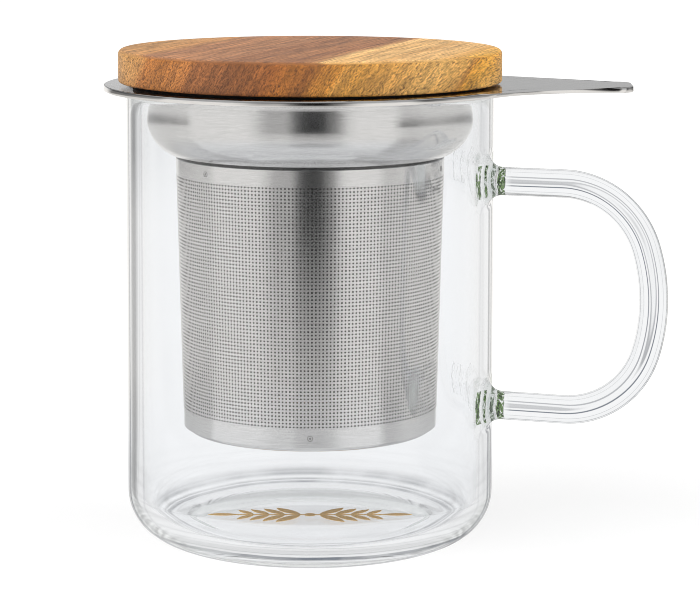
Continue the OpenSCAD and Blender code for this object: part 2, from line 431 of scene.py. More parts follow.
@dataclass(frozen=True)
class ClearGlass:
    """Clear glass with a cool body, painted dark lines near its outlines, a painted glow and greener fused
    feet.

    Each kind of painted line is a ramp of pairs: a place in its span and its strength there, both from 0 to
    1. The spans are in millimetres. The dark lines are painted reflections. The inner corner's painted rings
       stand at
    levels of height plus inner_slope times the distance from the axis, because they show through the curved
    glass before them.
    """

    ior: float = 1.474
    clarity: Colour = (0.948, 0.955, 0.966)
    painted_line_tone: Colour = (0.04, 0.05, 0.07)
    body_colour: Colour = (0.72, 0.78, 0.77)
    body_density: float = 7.0
    base_span: float = 12.0
    base_sway: float = 1.2
    inner_span: Point = (11.4, 18.4)
    inner_sway: float = 0.6
    inner_slope: float = 0.2345
    fused_green: Colour = (0.03, 0.075, 0.012)
    fused_dark: Colour = (0.004, 0.006, 0.004)
    fused_span: Point = (41.0, 51.0)
    fused_surface: Point = (45.0, 45.6)
    fused_heights: Point = (4.0, 6.0)
    fused_bow: float = 0.035
    fused_sway: float = 0.9
    fused_skew: float = 0.344
    rim_green: Point = (1.5, 0.9)
    rim_strength: float = 0.85
    glow_colour: Colour = (1.0, 1.0, 0.99)
    piped_after: int = 5
    piped_ripple: float = 1100.0

    def uneven(self, shader: Shader, scale: float, least: float) -> Socket:
        """Gives a factor from a least value to 1 that changes slowly over the glass."""
        return shader.range(shader.even_noise(scale, detail=3), 0.38, 0.62, least, 1)

    def painted_edge_lines(self, shader: Shader, side: Any, rod: Any) -> Socket:
        """Paints dark lines near the outlines, by how squarely the glass faces the eye: painted reflections.

        Args:
            shader: The helper of the glass material.
            side: 1 on the handle's half of the glass and 0 on the other.
            rod: 1 on the rod and 0 on the wall.

        Returns:
            The strength of the lines, from 0 to 1.
        """
        across = shader.add("LayerWeight", {"Blend": 0.5}).outputs["Facing"]
        plain = shader.grey_ramp(
            across, (0.595, 0), (0.612, 0.4), (0.628, 0), (0.69, 0), (0.715, 0.35), (0.765, 0.45), (0.785, 0),
            (0.82, 0), (0.84, 1), (0.865, 1), (0.885, 0), (0.93, 0), (0.97, 0.3))
        handle = shader.grey_ramp(
            across, (0.62, 0), (0.64, 0.3), (0.655, 0), (0.77, 0), (0.785, 0.9), (0.81, 0.9), (0.83, 0),
            (0.845, 0), (0.855, 1), (0.88, 1), (0.90, 0), (0.93, 0), (0.97, 0.25))
        bar = shader.grey_ramp(
            across, (0.001, 0.55), (0.005, 0), (0.018, 0), (0.024, 0.8), (0.032, 0.8), (0.038, 0), (0.055, 0),
            (0.064, 1), (0.08, 1), (0.092, 0), (0.24, 0), (0.27, 0.55), (0.30, 0), (0.5, 0), (0.57, 0.9),
            (0.63, 0.1))
        return shader.blend(rod, shader.blend(side, plain, handle), bar)

    def painted_base_lines(self, shader: Shader, place: Any) -> Socket:
        """Paints fine dark rings round the outer corner of the base: painted reflections in the thick glass.

        Args:
            shader: The helper of the glass material.
            place: Object coordinates.

        Returns:
            The strength of the rings, from 0 to 1.
        """
        around = shader.noise(shader.stretched((40, 40, 150)), detail=2)
        height = shader.sway(shader.parts(place)["Z"], around, self.base_sway * MM)
        rings = shader.grey_ramp(
            shader.range(height, 0, self.base_span * MM, 0, 1),
            (0.08, 0), (0.10, 0.5), (0.13, 0), (0.20, 0), (0.217, 0.65), (0.235, 0), (0.285, 0), (0.30, 0.7),
            (0.312, 0.5), (0.325, 1), (0.385, 1), (0.40, 0), (0.44, 0), (0.454, 0.7), (0.468, 0), (0.52, 0),
            (0.533, 0.3), (0.546, 0), (0.575, 0), (0.59, 0.45), (0.605, 0), (0.68, 0), (0.70, 0.4), (0.72, 0))
        return shader.times(rings, self.uneven(shader, scale=60, least=0.65))

    def painted_inner_rings(self, shader: Shader, place: Any) -> Socket:
        """Paints dark rings at the inner corner, where wall and base meet: painted shade for someone looking
        in.

        Args:
            shader: The helper of the glass material.
            place: Object coordinates.

        Returns:
            The strength of the rings, from 0 to 1.
        """
        axes = shader.parts(place)
        radius = shader.length(shader.vector(X=axes["X"], Y=axes["Y"]))
        level = shader.math("MULTIPLY_ADD", radius, self.inner_slope, axes["Z"])
        level = shader.sway(level, shader.even_noise(45), self.inner_sway * MM)
        low, high = self.inner_span
        rings = shader.grey_ramp(
            shader.range(level, low * MM, high * MM, 0, 1),
            (0.0, 0.14), (0.14, 0.14), (0.18, 0.85), (0.225, 0.7), (0.26, 0.2), (0.295, 0.75), (0.33, 0.4),
            (0.37, 0.0), (0.41, 0.05), (0.45, 0.4), (0.50, 0.75), (0.56, 0.6), (0.60, 0.5), (0.635, 0.6),
            (0.69, 0.45), (0.75, 0.28), (0.82, 0.12), (0.9, 0.0))
        return shader.times(rings, self.uneven(shader, scale=70, least=0.5))

    def fused(self, shader: Shader, place: Any, feet: list[Vector]) -> tuple[Socket, Socket]:
        """Marks the green, uneven crescents where the rod was melted to the wall.

        Args:
            shader: The helper of the glass material.
            place: Object coordinates.
            feet: The middles of the handle's fused feet on the wall, in millimetres.

        Returns:
            The strength of the green, and of the dark streaks in it, from 0 to 1.
        """
        axes = shader.parts(place)
        wobble = shader.even_noise(330)
        streaks = shader.noise(shader.stretched((1500, 1500, 520)), detail=3, rough=0.6, distortion=1.0)
        out = shader.math("DIVIDE", shader.math("MULTIPLY_ADD", axes["Y"], self.fused_skew, axes["X"]), MM)
        green = 0.0
        for foot in feet:
            rise = shader.math("DIVIDE", shader.minus(axes["Z"], foot.z * MM), MM)
            ring = shader.minus(out, shader.times(shader.times(rise, rise), self.fused_bow))
            ring = shader.sway(ring, wobble, self.fused_sway)
            crescents = shader.grey_ramp(
                shader.range(ring, *self.fused_span, 0, 1),
                (0.06, 0), (0.08, 1), (0.19, 1), (0.21, 0), (0.28, 0), (0.295, 1), (0.35, 1), (0.365, 0),
                (0.46, 0), (0.48, 0.9), (0.56, 0.9), (0.58, 0), (0.62, 0), (0.64, 1), (0.81, 1), (0.83, 0))
            height = shader.range(ring, *self.fused_surface, *self.fused_heights)
            crescents = shader.times(crescents, shader.below(shader.math("ABSOLUTE", rise), height))
            green = shader.plus(green, crescents)
        green = shader.times(green, shader.range(streaks, 0.38, 0.46, 0, 1), clamp=True)
        dark = shader.times(green, shader.range(streaks, 0.53, 0.58, 0, 1), clamp=True)
        return green, dark

    def rim_streaks(self, shader: Shader, height: Any, upright: Any, rim: float) -> Socket:
        """Marks the green that the fire-polished rim shows from its sides.

        Args:
            shader: The helper of the glass material.
            height: Height of the place shaded.
            upright: How far its normal points up.
            rim: Height of the rim, in millimetres.

        Returns:
            The strength of the green, from 0 to 1.
        """
        start, end = self.rim_green
        at_rim = shader.range(height, (rim - start) * MM, (rim - end) * MM, 0, self.rim_strength)
        at_rim = shader.times(at_rim, shader.range(upright, 0.35, 0.1, 0, 1))
        streaks = shader.noise(shader.stretched((260, 260, 900)), detail=3)
        return shader.times(at_rim, shader.range(streaks, 0.4, 0.5, 0, 1))

    def material(self, feet: list[Vector], rod_start: float, rim: float) -> bpy.types.Material:
        """Builds the finish.

        Args:
            feet: The middles of the handle's fused feet on the wall, in millimetres.
            rod_start: Distance from the axis at which the rod leaves its feet, in millimetres.
            rim: Height of the rim, in millimetres.

        Returns:
            The material.
        """
        material, shader, surface = new_material("clear_glass")
        place = shader.place()
        axes = shader.parts(place)
        upright = shader.parts(shader.add("NewGeometry").outputs["Normal"])["Z"]
        path = shader.add("LightPath").outputs
        direct, turned = path["Is Camera Ray"], path["Glossy Depth"]
        rod = shader.range(axes["X"], (rod_start + 1) * MM, (rod_start + 3) * MM, 0, 1)
        # Painted reflections: dark lines near the outlines and round the base, for the eye only
        lines = self.painted_edge_lines(shader, shader.above(axes["X"], 0), rod)
        lines = shader.times(lines, shader.range(upright, -0.05, 0.15, 1, 0.75))
        lines = shader.times(shader.most(lines, self.painted_base_lines(shader, place)), direct)
        # The inner corner's painted rings are for the eye that has come through the near wall and nothing
        # else
        looking_in = shader.math("COMPARE", path["Transmission Depth"], 2, 0.5)
        looking_in = shader.times(looking_in, shader.below(turned, 0.5))
        lines = shader.most(lines, shader.times(self.painted_inner_rings(shader, place), looking_in))
        green, dark = self.fused(shader, place, feet)
        green = shader.most(green, self.rim_streaks(shader, axes["Z"], upright, rim))
        tone = shader.mix(lines, self.clarity, self.painted_line_tone)
        tone = shader.mix(shader.times(green, direct), tone, self.fused_green)
        tone = shader.mix(shader.times(dark, direct), tone, self.fused_dark)
        # Painted glow: light thrown back inside the glass piped_after times ends there in a pale emission
        tone = shader.mix(shader.above(turned, self.piped_after - 0.5), tone, BLACK)
        radius = shader.length(shader.vector(X=axes["X"], Y=axes["Y"]))
        ripple = shader.noise(shader.vector(X=radius), scale=self.piped_ripple, detail=2)
        painted_glow = shader.math("COMPARE", turned, self.piped_after, 0.5)
        painted_glow = shader.times(painted_glow, shader.range(ripple, 0.4, 0.6, 0.6, 1))
        bump = shader.add("Bump", {"Height": green, "Strength": 0.5, "Distance": 0.3 * MM})
        shader.feed(surface, {
            "Roughness": 0.0, "IOR": self.ior, "Transmission Weight": 1.0, "Base Color": tone,
            "Emission Color": (*self.glow_colour, 1), "Emission Strength": painted_glow, "Normal": bump.outputs[0],
        })
        body = {"Color": (*self.body_colour, 1), "Density": self.body_density}
        absorb = shader.add("VolumeAbsorption", body)
        shader.feed(shader.tree.nodes["Material Output"], {"Volume": absorb.outputs[0]})
        return material


@dataclass(frozen=True)
class BrushedSteel:
    """Stainless steel with fine scratches round the piece."""

    name: str
    brushing: bpy.types.NodeTree
    tone: Colour = (0.80, 0.795, 0.79)
    dulled: float = 0.86
    hole_shade: Colour = (0.05, 0.05, 0.05)
    roughness: float = 0.12
    scratch_rough: float = 0.08
    cloud_rough: float = 0.04
    anisotropy: float = 0.4
    density: float = 9000
    along: float = 0.03
    relief: float = 0.035
    etched: bool = False

    def material(self) -> bpy.types.Material:
        """Builds the finish.

        Returns:
            The material.
        """
        material, shader, surface = new_material(self.name)
        brushed = shader.add("Group", {"Density": self.density, "Along": self.along}, node_tree=self.brushing)
        scratches, cloud = brushed.outputs["Scratches"], brushed.outputs["Cloud"]
        dull = tuple(self.dulled * part for part in self.tone)
        tone = shader.mix(shader.range(scratches, 0.3, 0.7, 0, 1), dull, self.tone)
        if self.etched:
            # Painted shade: the walls of the etched holes are painted near black for the shade inside them
            walls = shader.add("Attribute", attribute_name=ETCHED).outputs["Fac"]
            tone = shader.mix(walls, tone, self.hole_shade)
        smoothest = self.roughness - (self.scratch_rough + self.cloud_rough) / 2
        rough = shader.plus(smoothest, shader.times(scratches, self.scratch_rough))
        rough = shader.plus(rough, shader.times(cloud, self.cloud_rough))
        bump = shader.add("Bump", {"Height": scratches, "Strength": self.relief, "Distance": 0.02 * MM})
        shader.feed(surface, {
            "Metallic": 1.0, "Base Color": tone, "Roughness": rough, "Normal": bump.outputs[0],
            "Anisotropic": self.anisotropy, "Anisotropic Rotation": 0.25,
            "Tangent": shader.add("Tangent", direction_type="RADIAL", axis="Z").outputs[0],
        })
        return material


# Colours across the grain, from the lid's pale left edge to its sapwood, on its side and on its top. The
# top's are lighter, partly as face grain is paler than end grain and partly as painted light and sheen on the
# top
SIDE_BANDS = [
    (0.03, (0.62, 0.33, 0.10)),
    (0.14, (0.60, 0.28, 0.08)),
    (0.18, (0.47, 0.17, 0.035)),
    (0.23, (0.44, 0.155, 0.025)),
    (0.29, (0.50, 0.18, 0.035)),
    (0.33, (0.34, 0.115, 0.026)),
    (0.44, (0.25, 0.082, 0.018)),
    (0.50, (0.28, 0.09, 0.016)),
    (0.54, (0.36, 0.11, 0.014)),
    (0.60, (0.40, 0.135, 0.014)),
    (0.63, (0.30, 0.10, 0.014)),
    (0.655, (0.46, 0.18, 0.02)),
    (0.69, (0.50, 0.205, 0.022)),
    (0.70, (0.54, 0.25, 0.04)),
    (0.75, (0.56, 0.26, 0.035)),
    (0.82, (0.60, 0.30, 0.06)),
    (0.90, (0.67, 0.375, 0.10)),
    (0.945, (0.64, 0.33, 0.07)),
    (0.955, (0.40, 0.17, 0.03)),
    (0.963, (0.70, 0.32, 0.03)),
    (0.98, (0.73, 0.36, 0.045)),
    (1.00, (0.76, 0.41, 0.09)),
]
TOP_BANDS_LIT = [
    (0.08, (0.58, 0.28, 0.08)),
    (0.155, (0.57, 0.255, 0.068)),
    (0.205, (0.43, 0.175, 0.062)),
    (0.30, (0.44, 0.18, 0.062)),
    (0.40, (0.40, 0.165, 0.06)),
    (0.46, (0.31, 0.115, 0.034)),
    (0.56, (0.36, 0.14, 0.042)),
    (0.62, (0.33, 0.12, 0.034)),
    (0.655, (0.48, 0.21, 0.065)),
    (0.672, (0.93, 0.56, 0.20)),
    (0.70, (0.80, 0.45, 0.145)),
    (0.78, (0.86, 0.50, 0.17)),
    (0.805, (0.68, 0.36, 0.10)),
    (0.83, (0.84, 0.48, 0.165)),
    (0.90, (0.85, 0.49, 0.16)),
    (0.94, (0.70, 0.36, 0.08)),
    (1.00, (0.80, 0.42, 0.04)),
]


@dataclass(frozen=True)
class AcaciaWood:
    """Oiled acacia: broad bands of colour across the grain, fine fibre and open pores.

    The lengths are in millimetres. side_run and top_run tell how fast the figure changes along the grain.
    """

    grain_turn: float = 89.0
    half_width: float = 47.0
    middle: float = 115.0
    slant: float = 0.6
    wander: float = 9.0
    side_run: float = 0.5
    top_run: float = 0.07
    pore_tone: Colour = (0.12, 0.042, 0.014)
    pore_depth: float = 0.62
    oiled: float = 0.75

    def material(self) -> bpy.types.Material:
        """Builds the finish.

        Returns:
            The material.
        """
        material, shader, surface = new_material("acacia_wood")
        per_mm = 1 / MM
        place = shader.stretched((per_mm, per_mm, per_mm), self.grain_turn)
        # Along the grain is now X and across it is Y. On the side the figure leans with height
        axes = shader.parts(place)
        upright = shader.parts(shader.add("TexCoord").outputs["Normal"])["Z"]
        flat = shader.range(upright, 0.5, 0.9, 0, 1)
        lean = shader.times(shader.minus(axes["Z"], self.middle), self.slant)
        strand = shader.minus(axes["Y"], shader.times(lean, shader.minus(1, flat)))
        slow = shader.noise(shader.vector(X=shader.times(axes["X"], 0.02), Y=shader.times(strand, 0.09)),
                            detail=4)
        across = shader.sway(strand, slow, self.wander)
        across = shader.range(across, -self.half_width, self.half_width, 0, 1)
        # The top takes the lighter bands: partly paler face grain, partly painted light and sheen
        colour = shader.mix(flat, shader.ramp(across, SIDE_BANDS), shader.ramp(across, TOP_BANDS_LIT))
        # Fibres run long on the top and are cut short on the side
        run = shader.times(axes["X"], shader.blend(flat, self.side_run, self.top_run))
        wide = shader.vector(X=shader.times(run, 0.3), Y=shader.times(strand, 0.55),
                             Z=shader.times(axes["Z"], 0.12))
        streaks = shader.noise(wide, detail=5, rough=0.65)
        fine = shader.vector(X=run, Y=shader.times(strand, 3.3), Z=shader.times(axes["Z"], 1.7))
        fibre = shader.noise(fine, detail=3, rough=0.75)
        colour = shader.tint(colour, shader.range(streaks, 0.35, 0.65, 0.72, 1.28))
        colour = shader.tint(colour, shader.range(fibre, 0.33, 0.67, 0.36, 1.64))
        pore = shader.range(fibre, 0.43, 0.35, 0, 1)
        height = shader.minus(shader.times(fibre, 0.6), pore)
        bump = shader.add("Bump", {"Height": height, "Strength": 0.5, "Distance": 0.12 * MM})
        shader.feed(surface, {
            "Base Color": shader.mix(shader.times(pore, self.pore_depth), colour, self.pore_tone),
            "Roughness": shader.range(fibre, 0.3, 0.7, 0.6, 0.42),
            "Specular IOR Level": self.oiled, "Normal": bump.outputs[0],
        })
        return material


@dataclass(frozen=True)
class Silicone:
    """Matt black silicone with a trace of dust."""

    tone: Colour = (0.012, 0.012, 0.012)
    dusty: Colour = (0.035, 0.034, 0.033)

    def material(self) -> bpy.types.Material:
        """Builds the finish.

        Returns:
            The material.
        """
        material, shader, surface = new_material("silicone")
        dust = shader.even_noise(900, detail=3)
        shader.feed(surface, {
            "Base Color": shader.mix(shader.range(dust, 0.5, 0.75, 0, 1), self.tone, self.dusty),
            "Roughness": shader.range(dust, 0.3, 0.7, 0.5, 0.7),
        })
        return material


@dataclass(frozen=True)
class Gilding:
    """Fired gold print with a fine grain."""

    deep: Colour = (0.56, 0.31, 0.07)
    bright: Colour = (0.74, 0.46, 0.13)
    shine: float = 0.1

    def material(self) -> bpy.types.Material:
        """Builds the finish.

        Returns:
            The material.
        """
        material, shader, surface = new_material("gilding")
        grain = shader.noise(shader.stretched((2500, 2500, 2500)), detail=3, rough=0.7)
        shader.feed(surface, {
            "Base Color": shader.mix(shader.range(grain, 0.35, 0.65, 0, 1), self.deep, self.bright),
            "Roughness": shader.range(grain, 0.3, 0.7, 0.35, 0.55), "Specular IOR Level": self.shine,
        })
        return material


# -------------------------------------------------------------------------------------------- glass


@dataclass
class GlassMug:
    """The glass with its handle: one closed shell of glass, because the rod is fused to the wall."""

    finish: ClearGlass
    wall: float = 3.5
    floor_height: float = 4.28
    foot_hollow: float = 1.5
    foot_ring: float = 3.1
    outer_corner: float = 11.7
    inner_corner: float = 8.2
    rod_radius: float = 3.4
    fused_radius: float = 7.4
    lip_width: float = 1.6
    corner_radius: float = 20.8
    side_radius: float = 42.9
    hole_cells: int = 7
    row_height: float = 4.0
    lowest_row: float = 1.0
    radius: float = field(init=False)
    height: float = field(init=False)
    reach: float = field(init=False)
    rod_start: float = field(init=False)
    bar_heights: Point = field(init=False)

    def __post_init__(self) -> None:
        """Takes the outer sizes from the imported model."""
        _, high = node_box("mug_body")
        self.radius, self.height = high.x, high.z
        low, high = node_box("mug_handle")
        self.reach = high.x - self.rod_radius
        self.rod_start = self.radius + self.fused_radius - self.rod_radius
        self.bar_heights = (low.z + self.fused_radius, high.z - self.fused_radius)

    def wall_rows(self) -> list[float]:
        """Spaces the rows of the wall.

        Returns:
            Their heights, close together round both feet of the handle.
        """
        cell = math.tau * self.radius / ROUND
        steps = range(-self.hole_cells, self.hole_cells + 1)
        lower, upper = ([bar + i * cell for i in steps] for bar in self.bar_heights)
        rows = lower + upper
        top = self.height - self.wall / 2
        plain = ((self.outer_corner, lower[0]), (lower[-1], upper[0]), (upper[-1], top))
        for start, end in plain:
            count = max(2, round((end - start) / self.row_height))
            rows += [start + (end - start) * i / count for i in range(1, count)]
        return sorted(rows)

    def profile(self) -> list[Point]:
        """Draws the section of the glass.

        Returns:
            Its points, from the middle of the hollow foot to the middle of the floor.
        """
        inside = self.radius - self.wall
        foot_out = self.radius - self.outer_corner
        foot_in = foot_out - self.foot_ring
        hollow, ease, lip_steps = self.foot_hollow, self.lip_width, 8
        shares = [i / lip_steps for i in range(lip_steps + 1)]
        lip = [(foot_in - ease * (1 - t), hollow * (1 - t * t * (3 - 2 * t))) for t in shares]
        rim = (self.radius - self.wall / 2, self.height - self.wall / 2)
        bend = self.floor_height + self.inner_corner
        rows = self.wall_rows()
        return (
            [(0, hollow), (0.5 * foot_in, hollow)] + lip
            + arc((foot_out, self.outer_corner), self.outer_corner, -90, 0, steps=20)
            + [(self.radius, z) for z in rows]
            + arc(rim, self.wall / 2, 0, 180, steps=12)
            + [(inside, z) for z in reversed(rows) if z > bend + self.lowest_row]
            + arc((inside - self.inner_corner, bend), self.inner_corner, 0, -90, steps=16)
            + [(0.5 * inside, self.floor_height), (0, self.floor_height)]
        )

    def open_foot(self, bm: Mesh, bar: float) -> Edges:
        """Cuts a window in the outer wall, fills it with the fused flare and gives the rod's first ring.

        Args:
            bm: The turned glass.
            bar: Height of the bar's centreline.

        Returns:
            The edges of the ring where the rod starts.
        """
        half = (self.hole_cells + 0.5) * math.tau * self.radius / ROUND
        window = []
        for face in bm.faces:
            middle = face.calc_center_median()
            outside = math.hypot(middle.x, middle.y) > self.radius - self.wall / 2
            if middle.x > 0 and outside and abs(middle.y) < half and abs(middle.z - bar) < half:
                window.append(face)
        before = set(open_edges(bm.edges))
        bmesh.ops.delete(bm, geom=window, context="FACES")
        ring = [edge for edge in open_edges(bm.edges) if edge not in before]
        flare = self.fused_radius - self.rod_radius
        steps = 9
        for step in range(steps + 1):
            turn = math.radians(90 * step / steps)
            size = self.fused_radius - flare * math.sin(turn)
            stand = self.radius + flare * (1 - math.cos(turn))
            ring = pull_out(bm, ring, Vector())
            for vert in {v for edge in ring for v in edge.verts}:
                angle = math.atan2(vert.co.z - bar, vert.co.y)
                y, z = size * math.cos(angle), size * math.sin(angle)
                bow = (self.radius - math.sqrt(self.radius ** 2 - y * y)) * (1 - step / steps)
                vert.co = (stand - bow, y, bar + z)
        return ring

    def sweep_rod(self, bm: Mesh, ring: Edges) -> None:
        """Carries the rod from its upper ring round to its lower ring.

        Args:
            bm: The glass with both feet opened.
            ring: The edges of the upper ring.
        """
        low, high = self.bar_heights
        middle = (low + high) / 2
        rise = (high - low) / 2 - self.corner_radius
        spread = self.side_radius - self.corner_radius
        half_turn = math.asin(rise / spread)
        side_x = self.reach - self.side_radius
        corner_x = side_x + spread * math.cos(half_turn)
        straight = Vector((corner_x - self.rod_start, 0, 0))
        # Centre, height of the centre, turn and steps of each bend, from the upper bar down
        bends = (
            (corner_x, middle + rise, math.pi / 2 - half_turn, 20),
            (side_x, middle, 2 * half_turn, 16),
            (corner_x, middle - rise, math.pi / 2 - half_turn, 20),
        )
        ring = pull_out(bm, ring, straight)
        for x, z, angle, steps in bends:
            verts = list({v for edge in ring for v in edge.verts})
            made = bmesh.ops.spin(bm, geom=verts + ring, cent=(x, 0, z), axis=(0, 1, 0), angle=angle,
                                  steps=steps, use_merge=False)["geom_last"]
            ring = [item for item in made if isinstance(item, bmesh.types.BMEdge)]
        pull_out(bm, ring, -straight)

    def build(self) -> None:
        """Makes the glass piece."""
        bm = bmesh.new()
        lathe(bm, self.profile())
        close_up(bm)
        self.open_foot(bm, self.bar_heights[0])
        upper = self.open_foot(bm, self.bar_heights[1])
        self.sweep_rod(bm, upper)
        close_up(bm)
        feet = [Vector((self.radius, 0, bar)) for bar in self.bar_heights]
        material = self.finish.material(feet, self.rod_start, self.height)
        piece = finish_piece(bm, "mug_glass", Body.MUG, material, ("mug_body", "mug_handle"),
                             crease=50)
        piece.visible_shadow = False
        piece.visible_diffuse = False


# ------------------------------------------------------------------------------------------ infuser


# Section of a spot weld's dimple: share of its radius, and height over the sheet in millimetres
DIMPLE = ((0, 0.08), (0.3, 0.06), (0.45, -0.08), (0.58, -0.32), (0.70, -0.08), (0.84, 0.10), (0.94, 0.07),
          (1, 0.0))


@dataclass
class Infuser:
    """The drawn bowl with its flange and tab, the perforated basket under it and the spot welds."""

    drawn: BrushedSteel
    sheet: BrushedSteel
    weld: BrushedSteel
    flange_thickness: float = 1.4
    bowl_wall: float = 0.7
    bowl_depth: float = 17.8
    bowl_corner: float = 10.5
    mouth: float = 1.5
    collar_turn: float = 1.2
    bowl_radius: float = 40.1
    straight: float = 0.15
    edge_round: float = 0.25
    tab_width: float = 17.0
    tab_flare: float = 35.0
    tab_corner: float = 3.8
    tab_angle: float = 16.0
    sheet_wall: float = 0.4
    sheet_fit: float = 0.05
    sleeve_taper: float = 1.8
    floor_corner: float = 2.0
    floor_rim: float = 4.0
    floor_lip: float = 0.4
    floor_pitch: float = 0.9
    floor_margin: float = 1.6
    columns: int = 232
    rows: int = 68
    hole: float = 0.38
    hole_inside: float = 0.09
    lower_band: float = 4.55
    upper_band: float = 3.85
    panels: int = 4
    seam_angle: float = 109.0
    seam_columns: int = 3
    weld_radius: float = 0.7
    weld_count: int = 3
    upper_weld_angle: float = -118.7
    lower_weld_angle: float = -71.0
    flange_radius: float = field(init=False)
    flange_top: float = field(init=False)
    flange_under: float = field(init=False)
    collar_low: float = field(init=False)
    tab_length: float = field(init=False)
    sleeve_low: float = field(init=False)
    sleeve_top: float = field(init=False)
    sleeve_radius: float = field(init=False)
    sleeve_low_radius: float = field(init=False)
    floor_low: float = field(init=False)

    def __post_init__(self) -> None:
        """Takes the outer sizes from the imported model."""
        low, high = node_box("infuser_bowl")
        self.flange_radius = -low.x
        self.flange_top, self.flange_under = high.z, high.z - self.flange_thickness
        self.collar_low = low.z
        turn = math.radians(self.tab_angle)
        side = (self.tab_width / 2 - self.tab_corner) * math.sin(turn)
        self.tab_length = (high.x - self.tab_corner - side) / math.cos(turn) + self.tab_corner
        low, high = node_box("basket_sleeve")
        self.sleeve_low, self.sleeve_top = low.z, high.z
        self.sleeve_radius = high.y
        low, _ = node_box("basket_floor")
        self.floor_low = low.z
        self.sleeve_low_radius = self.sleeve_radius - self.sleeve_taper

    def sleeve_at(self, z: float) -> float:
        """Gives the tapered sleeve's outside radius at a height."""
        share = (z - self.sleeve_low) / (self.sleeve_top - self.sleeve_low)
        return self.sleeve_low_radius + (self.sleeve_radius - self.sleeve_low_radius) * share

    def flange_outline(self, inset: float) -> list[Vector]:
        """Lists the flange's outline with its tab.

        Args:
            inset: How far the outline is drawn in from the edge.

        Returns:
            The points, anticlockwise, the same number at every inset.
        """
        radius = self.flange_radius - inset
        half = self.tab_width / 2 - inset
        flare = self.tab_flare + inset
        corner = self.tab_corner - inset
        y = half + flare
        x = math.sqrt((radius + flare) ** 2 - y * y)
        meet = math.degrees(math.atan2(y, x))
        end = self.tab_length - self.tab_corner
        points = (
            arc((x, -y), flare, 180 - meet, 90, steps=24)
            + arc((end, corner - half), corner, -90, 0, steps=10)
            + arc((end, half - corner), corner, 0, 90, steps=10)
            + arc((x, y), flare, -90, meet - 180, steps=24)
            + arc((0, 0), radius, meet, 360 - meet, steps=220)[1:-1]
        )
        turn = Matrix.Rotation(math.radians(self.tab_angle), 2)
        return [turn @ Vector(point) for point in points]

    def bowl_profile(self) -> list[Point]:
        """Draws the bowl's section.

        Returns:
            Its points, from the flange's top round the collar to the flange's underside.
        """
        thick = self.bowl_wall
        plate = self.flange_top - self.flange_under
        edge = self.bowl_radius - thick + self.mouth
        under = edge - self.bowl_radius
        joint = edge + plate
        floor = self.flange_top - self.bowl_depth
        corner = (self.bowl_radius - self.bowl_corner, floor + self.bowl_corner)
        collar_in = self.sleeve_radius - self.sheet_wall - self.sheet_fit - thick
        turn_in = collar_in + self.collar_turn - corner[0]
        turn_reach = self.bowl_corner - thick + self.collar_turn
        turn = (collar_in + self.collar_turn, corner[1] - math.sqrt(turn_reach ** 2 - turn_in ** 2))
        angle = math.degrees(math.asin(turn_in / turn_reach))
        foot = self.sleeve_at(self.collar_low) - self.sheet_wall - self.sheet_fit
        return (
            [(joint, self.flange_top)]
            + arc((edge, self.flange_top - self.mouth), self.mouth, 90, 180, steps=8)
            + [(self.bowl_radius - thick, self.flange_top - self.mouth - self.straight),
               (self.bowl_radius - thick, corner[1] + self.straight)]
            + arc(corner, self.bowl_corner - thick, 0, angle - 90, steps=18)
            + arc(turn, self.collar_turn, angle + 90, 180, steps=6)
            + [(foot - thick, self.collar_low), (foot, self.collar_low)]
            + arc(turn, self.collar_turn - thick, 180, angle + 90, steps=6)
            + arc(corner, self.bowl_corner, angle - 90, 0, steps=18)
            + [(self.bowl_radius, corner[1] + self.straight),
               (self.bowl_radius, self.flange_under - under - self.straight)]
            + arc((edge, self.flange_under - under), under, 180, 90, steps=6)
            + [(joint, self.flange_under)]
        )

    def build_bowl(self) -> None:
        """Makes the bowl, flange and tab as one pressing."""
        bm = bmesh.new()
        lathe(bm, self.bowl_profile())
        bmesh.ops.remove_doubles(bm, verts=bm.verts, dist=MERGE)
        rims = open_edges(bm.edges)
        top_rim = [edge for edge in rims if edge.verts[0].co.z > self.flange_top - NEAR]
        under_rim = [edge for edge in rims if edge.verts[0].co.z < self.flange_under + NEAR]
        cove = self.edge_round
        part = cove * (1 - math.sqrt(0.5))
        top, under = self.flange_top, self.flange_under
        edge_rows = [(cove, top), (part, top - part), (0, top - cove),
                     (0, under + cove), (part, under + part), (cove, under)]
        verts = [bm.verts.new((p.x, p.y, self.flange_top)) for p in self.flange_outline(cove)]
        first = [bm.edges.new(pair) for pair in zip(verts, verts[1:] + verts[:1])]
        ring = first
        for inset, z in edge_rows[1:]:
            made = bmesh.ops.extrude_edge_only(bm, edges=ring)["geom"]
            ring = open_edges(made)
            for vert, point in zip(verts_of(made), self.flange_outline(inset)):
                vert.co = (point.x, point.y, z)
        bmesh.ops.triangle_fill(bm, edges=first + top_rim, use_beauty=True)
        bmesh.ops.triangle_fill(bm, edges=ring + under_rim, use_beauty=True)
        close_up(bm)
        finish_piece(bm, "infuser_bowl_drawn", Body.INFUSER, self.drawn.material(),
                     ("infuser_bowl",))

    def taper_holes(self, bm: Mesh) -> None:
        """Narrows the etched holes towards the inside of a flat sheet of square cells, and marks their walls.

        Args:
            bm: The sheet, with cells one unit wide and its outside at Z = 0.
        """
        in_cell = 0.45
        etched = bm.faces.layers.float.new(ETCHED)
        for face in bm.faces:
            middle = face.calc_center_median()
            at_hole = max(abs(middle.x % 1 - 0.5), abs(middle.y % 1 - 0.5)) < in_cell
            if abs(face.normal.z) < 0.5 and at_hole:
                face[etched] = 1.0
        narrow = self.hole_inside / self.hole
        for vert in bm.verts:
            cell = Vector((math.floor(vert.co.x) + 0.5, math.floor(vert.co.y) + 0.5))
            offset = vert.co.xy - cell
            if abs(vert.co.z) > NEAR and max(abs(offset.x), abs(offset.y)) < in_cell:
                vert.co.xy = cell + offset * narrow

